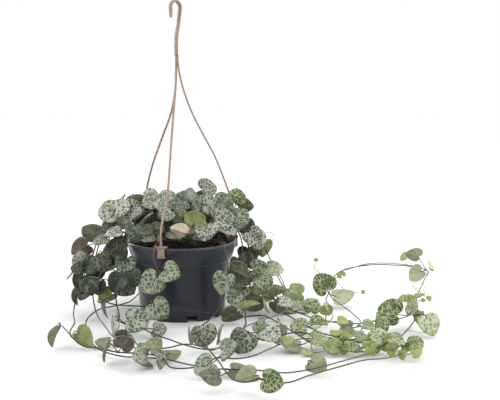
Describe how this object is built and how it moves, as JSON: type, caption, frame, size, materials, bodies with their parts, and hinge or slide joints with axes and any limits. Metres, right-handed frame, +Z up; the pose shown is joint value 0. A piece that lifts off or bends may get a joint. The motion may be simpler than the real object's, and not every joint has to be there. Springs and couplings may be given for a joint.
{
  "type": "string of hearts plant in a hanging pot",
  "caption": "Trailing string of hearts vine with mottled heart-shaped leaves on thin stems, in a dark tapered plastic pot with a moulded three-strand hanger, standing on its foot.",
  "frame": {"origin": "centre of the pot's foot, on the surface that the pot stands on", "axes": "+Z up, -Y towards the side of the front clip, +X to the side that the long vines sweep to"},
  "size_m": [0.4135, 0.3788, 0.3412],
  "materials": {
    "pot_plastic": "satin moulded, dark grey",
    "growing_mix": "rough crumb, near black",
    "hanger_plastic": "satin moulded, tan brown",
    "foliage": "matte leaf, silvery green"
  },
  "bodies": {
    "root": {"pot": "pot_plastic", "soil": "growing_mix", "hanger": "hanger_plastic", "left_outer": "foliage", "left_inner": "foliage", "left_red": "foliage", "back_round_left": "foliage", "front": "foliage", "right_front": "foliage", "foot_runner": "foliage", "right_drape": "foliage", "right_loop": "foliage", "right_upper": "foliage", "right_pale": "foliage", "back_right": "foliage", "back_middle": "foliage", "back_left": "foliage", "crown_1": "foliage", "crown_2": "foliage", "crown_3": "foliage", "crown_4": "foliage", "crown_5": "foliage", "crown_6": "foliage", "crown_7": "foliage", "crown_8": "foliage", "crown_9": "foliage", "sprig_1": "foliage", "sprig_2": "foliage", "sprig_3": "foliage", "sprig_4": "foliage", "sprig_5": "foliage"}
  },
  "joints": []
}
